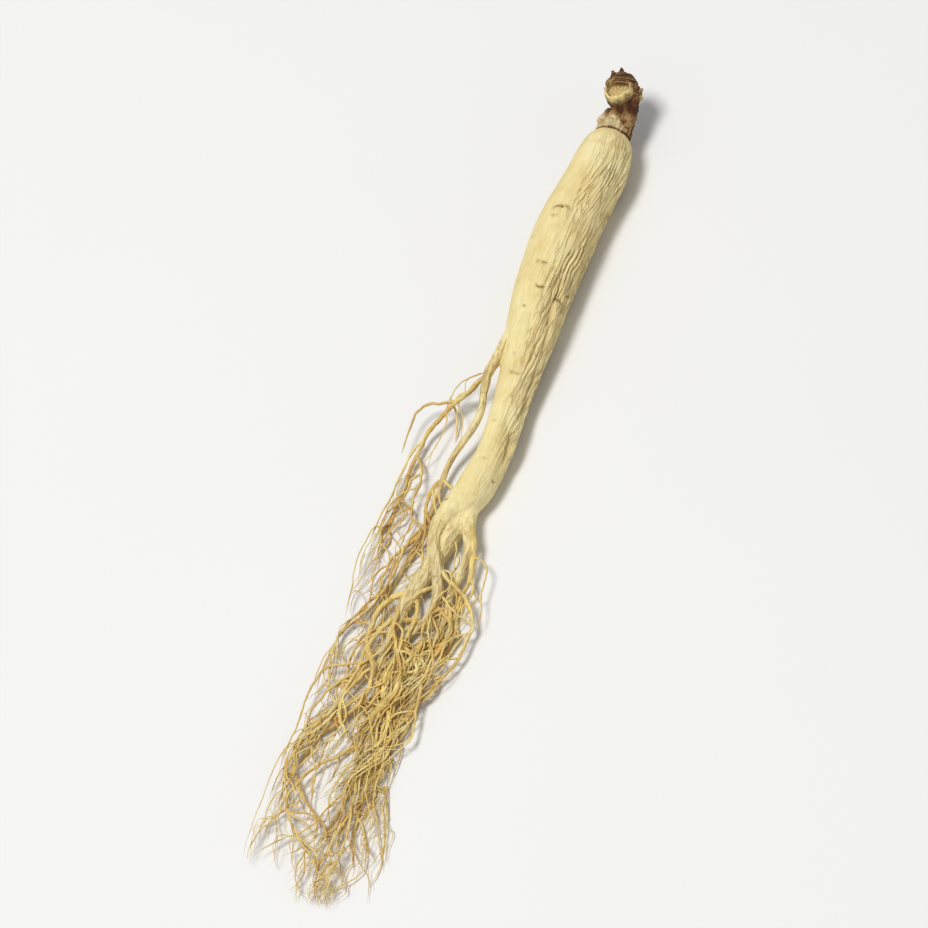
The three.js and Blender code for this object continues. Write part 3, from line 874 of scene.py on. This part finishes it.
def bowlRelief(points, height, barkAndShade, pithAndHighlight):
    # inside each scar the skin is moved along the scar's axis to a floor sunk like a
    # saucer's, and its rim stands up in an uneven ring
    for at, faces, radius, depth, pale in scars:
        wide, long, out = scarAxes(faces)
        off = points - np.array(at)
        a, b, ahead = off @ wide / 1.15, off @ long / 0.9, off @ out
        spread = np.hypot(a, b) / radius
        turn = np.arctan2(b, a)
        lipTurn = math.atan2(lipSide @ long, lipSide @ wide)
        nearLip = 0.5 + 0.5 * np.cos(turn - lipTurn)
        rim = 0.84 + 0.05 * np.sin(3 * turn + radius) + 0.03 * np.sin(7 * turn)
        front = ramp(ahead, -0.7 * radius, -0.2 * radius)
        inside = np.clip(1 - (spread / rim) ** 2, 0, 1) * front
        edge = np.exp(-(((spread - rim - 0.04) / 0.12) ** 2)) * front
        folds = 0.5 + 0.5 * np.sin(13 * turn + 4 * spread + 2 * smoothNoise(off * 0.9, 5))
        floorLevel = -depth * inside**0.8 - 0.08 * folds * inside**0.5
        push = ramp(inside, 0.0, 0.25) * (floorLevel - ahead) + (0.12 + 0.5 * nearLip) * edge
        height += push[:, None] * out
        pithAndHighlight[:] = np.maximum(pithAndHighlight, pale * ramp(inside, 0.1, 0.4) * (0.7 - 0.3 * folds))
        # the rim is pale pith, palest on the lip's side: partly its own colour and partly a painted
        # highlight
        pithAndHighlight[:] = np.maximum(pithAndHighlight, pale * np.minimum(1, 1.3 * edge * (0.3 + 0.7 * nearLip)))
        # painted shadow: a dark ring in the bark just under the lip, on the lip's side
        under = np.exp(-(((spread - rim - 0.36) / 0.15) ** 2)) * front * ramp(nearLip, 0.1, 0.5)
        barkAndShade[:] = np.maximum(barkAndShade, under * pale)
    return height


neck = rhizomeSkin(rhizomeRows, 96, 9, rhizomeBody["twist"], 4.5, 3)
strap = rhizomeSkin(strapRows, 48, 7, rhizomeBody["strapTwist"], 3.0, 6)
knobs = [knob(at, faces, radius) for at, faces, radius, _, _ in scars]
spikes = [dryPoint(*point) for point in dryPoints]
folds = [neckFold(places) for places in neckFolds]
rhizomeShape, rhizomeNormals = fuse(
    joined([neck, strap] + knobs + spikes + folds), rhizomeBody["grain"], rhizomeBody["smoothing"]
)


def rhizomeRelief(points, normals, settings):
    # flaky skin: stretched noise along the neck, sharp creases, and the bowls of the scars;
    # bark runs from tan on the neck's left to dark brown on its right, its waist and its head; the waist's
    # dark band is painted shadow under the scar's lip
    x, y, z = points.T
    seed = settings["seed"]
    flow = points * (1.0, 0.36, 1.0)
    coarse = creaseLines(flow * 0.95, seed, 0.24)
    fine = creaseLines(flow * 1.9, seed + 1, 0.3)
    rough = layeredNoise(points * 2.2, seed + 2, 3)
    lift = settings["flake"] * rough - 0.2 * coarse - 0.08 * fine
    place = points - headMiddle
    right, above = place @ viewRight, place @ viewUp
    pale = ramp(-above, 3.2, 5.0) * ramp(-right - 0.3 * above, 1.2, 3.4)
    barkAndShade = 0.46 + 0.22 * layeredNoise(points * 0.6, seed + 3, 3)
    barkAndShade += (0.28 * coarse + 0.14 * fine) * (1 - 0.6 * pale)
    barkAndShade += 0.2 * ramp(right, 0.6, 2.4) * ramp(-above, -1.0, 1.0)
    barkAndShade -= 0.46 * pale
    # painted shadow: a dark band round the waist, under the scar's lip
    barkAndShade += 0.5 * np.exp(-(((above + 3.0) / 1.0) ** 2))
    barkAndShade += 0.18 * ramp(above, 0.9, 2.0) + 0.25 * ramp(above, 2.6, 3.6)
    # a dark line where it leaves the taproot's skin
    cx, cz, radius = taprootCentre(y)
    gap = np.hypot(x - cx, z - cz) - radius
    barkAndShade += 0.6 * ramp(-gap, -0.65, -0.2) * ramp(-y, -42.5, -41.8)
    pithAndHighlight = np.zeros(len(y))
    push = bowlRelief(points, np.zeros_like(points), barkAndShade, pithAndHighlight)
    quiet = 1 - 0.75 * pithAndHighlight
    return push + normals * (lift * quiet)[:, None], np.clip(barkAndShade, 0, 1), np.clip(pithAndHighlight, 0, 1)


rhizomePush, rhizomeDark, rhizomePith = rhizomeRelief(rhizomeShape[0], rhizomeNormals, rhizomeBody)
newPiece(
    "rhizome", (rhizomeShape[0] + rhizomePush, *rhizomeShape[1:]), barkMaterial,
    {"barkAndShade": rhizomeDark, "pithAndHighlight": rhizomePith},
)


def scaleSkins(scaleRows, settings):
    # thin leaves whose edges curl up: each ring is wide and flat, bent away from the head by
    # the square of how far out it is, with ribs along it; paler towards edges and tip
    shapes, barks = [], []
    angle = ringAngles(settings["sides"])
    for k, places in enumerate(scaleRows):
        line, upward = aroundHead(places, settings["stations"])
        path = line[None, :, :3]
        side, top = directions(path, upward[None])
        share = np.linspace(0, 1, settings["stations"])[None, :, None]
        ragged = 1 + 0.22 * smoothNoise(stacked(9 * share, np.cos(angle), 7.0 * k), 3)
        wide = line[None, :, 3, None] * ragged * np.cos(angle)
        thin = settings["thick"] * (0.35 + np.minimum(1, 4 * (1 - share))) * np.sin(angle)
        curl = settings["curl"] * (np.cos(angle) ** 2 - 0.4) * line[None, :, 3, None]
        ribWave = np.sin(9 * np.cos(angle) + 2 * k)
        ribs = settings["rib"] * ribWave * np.abs(np.sin(angle))
        rings = path[:, :, None] + side[:, :, None] * wide[..., None]
        rings += top[:, :, None] * (thin + curl + ribs)[..., None]
        shapes.append(closedSkin(rings, rings[:, 0].mean(axis=1), rings[:, -1].mean(axis=1)))
        dark = 1.0 - 0.3 * share - 0.5 * np.abs(np.cos(angle)) ** 6 + 0.12 * ribWave
        barks.append(withEnds(dark + 0 * wide))
    return joined(shapes), np.clip(np.concatenate(barks), 0, 1)


scaleLook = {"stations": 60, "sides": 40, "thick": 0.13, "curl": 0.18, "rib": 0.035}
scaleShape, scaleDark = scaleSkins(budScales, scaleLook)
newPiece(
    "budScales", scaleShape, barkMaterial,
    {"barkAndShade": scaleDark, "pithAndHighlight": np.zeros(len(scaleDark))},
)


# legs and the side root

# limbs holds the points round each limb and its seed.
legBody = {
    "creaseDepth": 0.13,
    "lump": 0.1,
    "fold": 0.8,
    "perMm": 4,
    "limbs": {"left": (40, 61), "stout": (44, 67), "right": (36, 73), "side": (30, 79)},
}


def skinPiece(name, parts, material, fold):
    # parts of shape, crease and stain as one piece, folded alike all over; crease and stain also carry
    # painted shade
    creases = np.concatenate([creaseAndShade for _, creaseAndShade, _ in parts])
    stains = np.concatenate([stainAndShade for _, _, stainAndShade in parts])
    return newPiece(
        name, joined([shape for shape, _, _ in parts]), material,
        {"creaseAndShade": creases, "stainAndShade": stains, "fold": np.full(len(creases), fold)},
    )


def tipTaper(left, over):
    # 1 until over mm are left, then a root curve down to a fine point
    return np.maximum(np.clip(left / over, 0, 1) ** 0.6, 0.12)


def limbSkin(rows, sides, perMm, settings, seed):
    # a skin whose relief follows it: creases along it, lumps, and a few nicks across it, all
    # in proportion to its radius
    line, length = spacedLine(rows, perMm)
    gone = np.linspace(0, length, len(line))[:, None]
    angle = ringAngles(sides)[None, :]
    radius = line[:, 3:4]
    spot = stacked(np.cos(angle) * radius, gone, np.sin(angle) * radius)
    folds = creaseLines(spot * (1.5, 0.22, 1.5), seed, 0.34)
    fine = creaseLines(spot * (2.8, 0.5, 2.8), seed + 1, 0.4)
    nicks = creaseLines(spot * (0.5, 0.45, 0.5), seed + 2, 0.1)
    lumps = layeredNoise(spot * (0.5, 0.3, 0.5), seed + 3, 2)
    scale = np.minimum(radius, 1.6)
    relief = settings["lump"] * lumps - settings["creaseDepth"] * (folds + 0.4 * fine + 0.5 * nicks)
    sunk = 0.9 + 0.1 * ramp(gone, 3.0, 9.0)  # inside the foot that the taproot carries
    reach = (radius * sunk + scale * relief) * tipTaper(length - gone, 3.0)
    creaseAndShade = np.clip(0.55 * folds + 0.25 * fine + 0.5 * nicks, 0, 1)
    along = ramp(gone / length + 0 * angle, 0.1, 1.0)
    stainAndShade = np.clip(0.25 * along * ramp(lumps, -0.2, 0.7) + 0.28 * along, 0, 1)
    shape = carryRing(line[None, :, :3], reach[None])
    return shape, withEnds(creaseAndShade[None]), withEnds(stainAndShade[None])


limbs = [
    limbSkin(limbRows[name], sides, legBody["perMm"], legBody, seed)
    for name, (sides, seed) in legBody["limbs"].items()
]
skinPiece("forkedLegs", limbs, skinMaterial, legBody["fold"])


# rootlets

sproutRule = {
    "leavingAngle": 0.75,
    "pileHeight": 2.2,
    "bunchMiddle": -2,
    "gathering": 0.035,
    "radius": 0.48,
    "steps": 8,
}
# parent, how many, where along it they start, length, how far courses differ, side
sprouts = [
    ("side", 3, 0.45, 0.95, 22, 0.3, -1),
    ("left", 5, 0.4, 0.95, 30, 0.35, 0),
    ("stout", 9, 0.25, 0.8, 32, 0.35, 0),
    ("right", 4, 0.35, 0.9, 26, 0.3, 0),
    ("thigh", 2, 0.5, 0.9, 18, 0.3, 1),
    ("loopOut", 3, 0.25, 0.9, 20, 0.4, -1),
    ("loopBack", 2, 0.4, 0.8, 16, 0.3, 1),
    ("outer", 2, 0.5, 0.9, 18, 0.3, -1),
]


def sproutRows(parent, start, seed, length, spread, turns, rule):
    # leaves its parent's axis to one side, bends to run away from the rhizome, steers back
    # to the middle of the bunch, and sinks to the table
    line, _ = smoothLine(parent, 801)
    share = np.linspace(0, 1, 801)
    x, y, z, width = (np.interp(start, share, line[:, k]) for k in range(4))
    tangent = np.gradient(line[:, :3], axis=0)
    dx, dy = (np.interp(start, share, tangent[:, k]) for k in (0, 1))
    hand = turns or (1 if seed % 2 else -1)
    leaves = math.atan2(dy, dx) + hand * rule["leavingAngle"]
    runs = -math.pi / 2 + (chance(seed, 1) - 0.5) * 2 * spread
    phase = chance(seed, 2) * 2 * math.pi
    reach = length * (0.55 + 0.75 * chance(seed, 3))
    rise = 0.8 * chance(seed, 4)
    rest = rule["radius"] + rule["pileHeight"] * chance(seed, 5)
    thick = min(rule["radius"], 0.8 * width)
    rows = []
    for i in range(rule["steps"] + 1):
        t = i / rule["steps"]
        height = rest + (z - rest) * (1 - t) ** 2 + rise * math.sin(math.pi * t)
        rows.append((x, y, height, thick * (1 - 0.5 * t)))
        bend = min(1, 2 * t)
        gather = rule["gathering"] * (rule["bunchMiddle"] - x) * bend
        wander = 0.5 * math.sin(phase + 5.5 * t)
        course = leaves * (1 - bend) + runs * bend + gather + wander
        x += reach / rule["steps"] * math.cos(course)
        y += reach / rule["steps"] * math.sin(course)
    return rows


# leans is how far the right side's fine rootlets lean in, as y and the share of their way to
# the middle; the lean grows from nothing at the foot over leanOver mm.
bunch = {
    "slowFrom": 9.0,
    "slowOver": 5.3,
    "end": -126.0,
    "endSlack": 1.5,
    "leans": ((-116.0, 0.0), (-100.0, 0.45), (-84.0, 0.45), (-66.0, 0.0)),
    "leanOver": 9.0,
}


def waver(paths, radii, height, seed):
    # small bends that grow from nothing at the foot: three sine waves along each path, with
    # their own lengths and phases, to the side and upwards; nothing goes under the table
    n = len(paths)
    gone = goneAlong(paths)
    side, top = directions(paths)
    draw = np.random.default_rng(seed)
    grow = ramp(gone, 0.5, 4.0)
    for axis, share in ((side, 1.0), (top, 0.6)):
        for wavelength in (9.0, 4.6, 2.3):
            pitch = wavelength * draw.uniform(0.75, 1.3, (n, 1))
            phase = draw.uniform(0, 2 * np.pi, (n, 1))
            size = share * height * (wavelength / 9.0) ** 0.9 * draw.uniform(0.4, 1.0, (n, 1))
            swing = np.sin(2 * np.pi * gone / pitch + phase)
            kinked = 0.5 * swing + 0.4 * np.arcsin(0.98 * swing)
            paths = paths + axis * (grow * size * kinked)[..., None]
    paths[..., 2] = np.maximum(paths[..., 2], 1.25 * radii + 0.02)
    return withinBunch(paths)


def withinBunch(paths):
    # paths that stray past the bunch's two sides are drawn in, ever more slowly
    x, y, z = np.moveaxis(paths, -1, 0)
    out = np.abs(x - boxMiddle[0])
    over = np.maximum(out - bunch["slowFrom"], 0)
    drawn = np.minimum(out, bunch["slowFrom"]) + bunch["slowOver"] * np.tanh(over / bunch["slowOver"])
    x = boxMiddle[0] + np.sign(x - boxMiddle[0]) * drawn
    return np.stack([x, np.maximum(y, bunch["end"] - bunch["endSlack"]), z], axis=-1)


def leanedIn(paths):
    # each path on the right side is moved towards the bunch's middle by a share of its
    # distance from it; the share grows from nothing at the foot, so the foot stays in place
    x, y, z = np.moveaxis(paths, -1, 0)
    places, shares = np.transpose(bunch["leans"])
    lean = np.interp(y, places, shares) * ramp(goneAlong(paths), 0.0, bunch["leanOver"])
    x = x - lean * np.maximum(x - boxMiddle[0], 0)
    return np.stack([x, y, z], axis=-1)


def rootletSkins(paths, radii, sides, seed):
    # round skins whose radius swells and pinches along them, and dents a little round them
    n, stations, _ = paths.shape
    gone = goneAlong(paths)
    angle = ringAngles(sides)
    own = 37.0 * np.arange(n)[:, None, None]
    spot = stacked(0.8 * np.cos(angle) + own, 0.9 * gone[..., None], 0.8 * np.sin(angle) + 0 * own)
    swell = 0.2 * smoothNoise(spot * 0.8, seed) + 0.16 * smoothNoise(spot * 2.1, seed + 1)
    folds = creaseLines(spot * (1.5, 0.4, 1.5), seed + 2, 0.4)
    reach = radii[..., None] * (1 + swell - 0.2 * folds)
    shape = carryRing(paths, reach * tipTaper(gone[:, -1:] - gone, 2.5)[..., None])
    draw = np.random.default_rng(seed)
    tone = draw.uniform(-0.4, 0.3, (n, 1, 1)) + 0.2 * np.linspace(0, 1, stations)[None, :, None] ** 1.5
    # painted shade between the rootlets: the stain is browner the lower a rootlet lies
    low = 0.34 * ramp(-paths[..., 2:3], -2.8, -0.4)  # browner towards the table
    stainAndShade = np.clip(tone + low + 0.3 * smoothNoise(spot * 0.4, seed + 3), 0, 0.8)
    return shape, withEnds(0.6 * folds), withEnds(stainAndShade + 0 * reach)


def evenPaths(rowSets, count):
    # each set of rows as a smooth line of count points, its places and its radii
    lines = np.stack([smoothLine(rows, count)[0] for rows in rowSets])
    return lines[..., :3], lines[..., 3]


parents = {**limbRows, **runnerRows}
sproutSets = [
    sproutRows(
        parents[name], low + (high - low) * (i + 0.5) / count, 10 * family + i + 1,
        length, spread, turns, sproutRule,
    )
    for family, (name, count, low, high, length, spread, turns) in enumerate(sprouts)
    for i in range(count)
]
runnerPaths, runnerRadii = evenPaths(runnerRows.values(), 150)
sproutPaths, sproutRadii = evenPaths(sproutSets, 110)
runnerPaths = waver(runnerPaths, runnerRadii, height=0.16, seed=3)
sproutPaths = waver(sproutPaths, sproutRadii, height=0.2, seed=4)
rootletParts = [
    rootletSkins(runnerPaths, runnerRadii, sides=14, seed=5),
    rootletSkins(sproutPaths, sproutRadii, sides=12, seed=9),
]
skinPiece("rootlets", rootletParts, rootletMaterial, fold=0.7)


# finer rootlets, that leave the ones above

# curl and spread are how much the headings swing and differ, in radians.
fineRule = {
    "count": 150,
    "length": (9, 30),
    "radius": (0.16, 0.38),
    "curl": (0.15, 0.9),
    "spread": 0.6,
    "stations": 46,
    "seed": 21,
}
hairRule = dict(fineRule, count=380, length=(4, 14), radius=(0.08, 0.15), stations=16, seed=22)


def offshoots(paths, radii, rule):
    # each starts on a random point of a random path and leaves at an angle; its heading is
    # that angle easing to away from the rhizome, plus slow curls, summed step by step
    draw = np.random.default_rng(rule["seed"])
    n, stations = rule["count"], rule["stations"]
    which = draw.integers(0, paths.shape[0], n)
    where = (paths.shape[1] * draw.uniform(0.12, 0.97, n)).astype(int)
    foot = paths[which, where]
    ahead = paths[which, np.minimum(where + 1, paths.shape[1] - 1)] - paths[which, where - 1]
    hand = draw.choice((-1, 1), n)
    leaves = np.arctan2(ahead[:, 1], ahead[:, 0]) + hand * draw.uniform(0.5, 1.3, n)
    runs = -np.pi / 2 + draw.uniform(-rule["spread"], rule["spread"], n)
    t = np.linspace(0, 1, stations)[None, :]
    ease = np.clip(2.2 * t, 0, 1)
    curl = draw.uniform(*rule["curl"], (n, 1))
    curl = curl * np.sin(draw.uniform(3, 9, (n, 1)) * t + draw.uniform(0, 6.3, (n, 1)))
    heading = leaves[:, None] * (1 - ease) + runs[:, None] * ease + curl
    length = draw.uniform(*rule["length"], (n, 1))
    length = np.minimum(length, np.maximum(foot[:, 1:2] - bunch["end"], 1.0))
    step = length / (stations - 1)
    x = foot[:, :1] + np.cumsum(np.cos(heading) * step, axis=1) - np.cos(heading[:, :1]) * step
    y = foot[:, 1:2] + np.cumsum(np.sin(heading) * step, axis=1) - np.sin(heading[:, :1]) * step
    rest = draw.uniform(0.15, 2.6, (n, 1))
    rise = draw.uniform(-0.2, 1.2, (n, 1))
    z = rest + (foot[:, 2:] - rest) * (1 - t) ** 2 + rise * np.sin(np.pi * t)
    base = np.minimum(draw.uniform(*rule["radius"], n), 0.8 * radii[which, where])
    radius = base[:, None] * (1 - 0.55 * t)
    return np.stack([x, y, z], axis=-1), radius


def bundled(count, *sets):
    # sets of paths and radii as one, each read at count evenly spaced stations
    reads = [np.linspace(0, paths.shape[1] - 1, count).round().astype(int) for paths, _ in sets]
    paths = np.concatenate([paths[:, read] for (paths, _), read in zip(sets, reads)])
    radii = np.concatenate([radii[:, read] for (_, radii), read in zip(sets, reads)])
    return paths, radii


limbPaths, limbRadii = evenPaths(limbRows.values(), 110)
limbFoot = 30  # the first stations lie inside the taproot
carriers = bundled(
    80,
    (limbPaths[:, limbFoot:], limbRadii[:, limbFoot:]),
    (runnerPaths, runnerRadii),
    (sproutPaths, sproutRadii),
)
finePaths, fineRadii = offshoots(*carriers, fineRule)
finePaths = leanedIn(waver(finePaths, fineRadii, height=0.22, seed=6))
fineParts = [rootletSkins(finePaths, fineRadii, sides=7, seed=14)]
skinPiece("fineRootlets", fineParts, rootletMaterial, fold=0.4)
hairCarriers = bundled(40, (finePaths, fineRadii), (sproutPaths, sproutRadii))
hairPaths, hairRadii = offshoots(*hairCarriers, hairRule)
hairPaths = leanedIn(waver(hairPaths, hairRadii, height=0.16, seed=8))
hairParts = [rootletSkins(hairPaths, hairRadii, sides=4, seed=18)]
skinPiece("rootHairs", hairParts, rootletMaterial, fold=0.2)
print("root made")


# floor, light and camera

studio = {
    "floorSize": 6.0,
    "floorColour": (0.82, 0.81, 0.785),
    "skyColour": (0.92, 0.95, 1.0),
    "skyStrength": 0.4,
    "keyPlace": (-0.55, 0.55, 0.95),
    "keySize": 0.4,
    "keyPower": 11.5,
    "fillPlace": (0.9, -0.25, 0.7),
    "fillSize": 0.9,
    "fillPower": 1.6,
}
# fill is the share of the picture's height that the root takes.
camera = {"lens": 240, "sensor": 36, "fill": 0.88}

bpy.ops.mesh.primitive_plane_add(size=studio["floorSize"], location=(0, 0, -0.02 * mm))
floor = bpy.context.object
floor.name = "floor"
floorShader = Shader("paleFloor")
shade = floorShader.span(floorShader.noise(6, detail=2), 0.3, 0.7, 0.985, 1.0)
floorColour = floorShader.shaded((*studio["floorColour"], 1), shade)
floorShader.feed(floorShader.surface.inputs["Base Color"], floorColour)
floorShader.feed(floorShader.surface.inputs["Roughness"], 0.9)
floorShader.feed(floorShader.surface.inputs["Specular IOR Level"], 0.1)
floor.data.materials.append(floorShader.material)

world = bpy.data.worlds.new("softSky")
world.use_nodes = True
sky = world.node_tree.nodes["Background"]
sky.inputs[0].default_value = (*studio["skyColour"], 1)
sky.inputs[1].default_value = studio["skyStrength"]
bpy.context.scene.world = world

back = unit(viewOut)
right = unit(np.cross(viewUp, back))
up = np.cross(back, right)
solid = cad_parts["ginseng_root"].data
places = np.empty(3 * len(solid.vertices), np.float32)
solid.vertices.foreach_get("co", places)
places = places.reshape(-1, 3).astype(float)
middle = sum(
    axis * ((places @ axis).max() + (places @ axis).min()) / 2 for axis in (right, up, back)
)
tall = (places @ up).max() - (places @ up).min()

eye = bpy.data.cameras.new("camera")
eye.lens = camera["lens"]
eye.sensor_width = camera["sensor"]
eye.clip_start, eye.clip_end = 0.01, 20
away = tall / camera["fill"] * camera["lens"] / camera["sensor"]
cameraObject = bpy.data.objects.new("camera", eye)
turn = Matrix([list(row) for row in np.stack([right, up, back], axis=1)]).to_4x4()
cameraObject.matrix_world = Matrix.Translation(Vector(middle + back * away)) @ turn
bpy.context.scene.collection.objects.link(cameraObject)
bpy.context.scene.camera = cameraObject


def softLight(name, place, size, power):
    # a square light that faces the root; place is right, up and towards the camera, in metres
    lamp = bpy.data.lights.new(name, "AREA")
    lamp.size = size
    lamp.energy = power
    lampObject = bpy.data.objects.new(name, lamp)
    spot = middle + place[0] * right + place[1] * up + place[2] * back
    facing = Vector(middle - spot).to_track_quat("-Z", "Y")
    lampObject.matrix_world = Matrix.Translation(Vector(spot)) @ facing.to_matrix().to_4x4()
    bpy.context.scene.collection.objects.link(lampObject)


softLight("keyLight", studio["keyPlace"], studio["keySize"], studio["keyPower"])
softLight("fillLight", studio["fillPlace"], studio["fillSize"], studio["fillPower"])
bpy.context.scene.view_settings.view_transform = "Standard"
print("studio made")
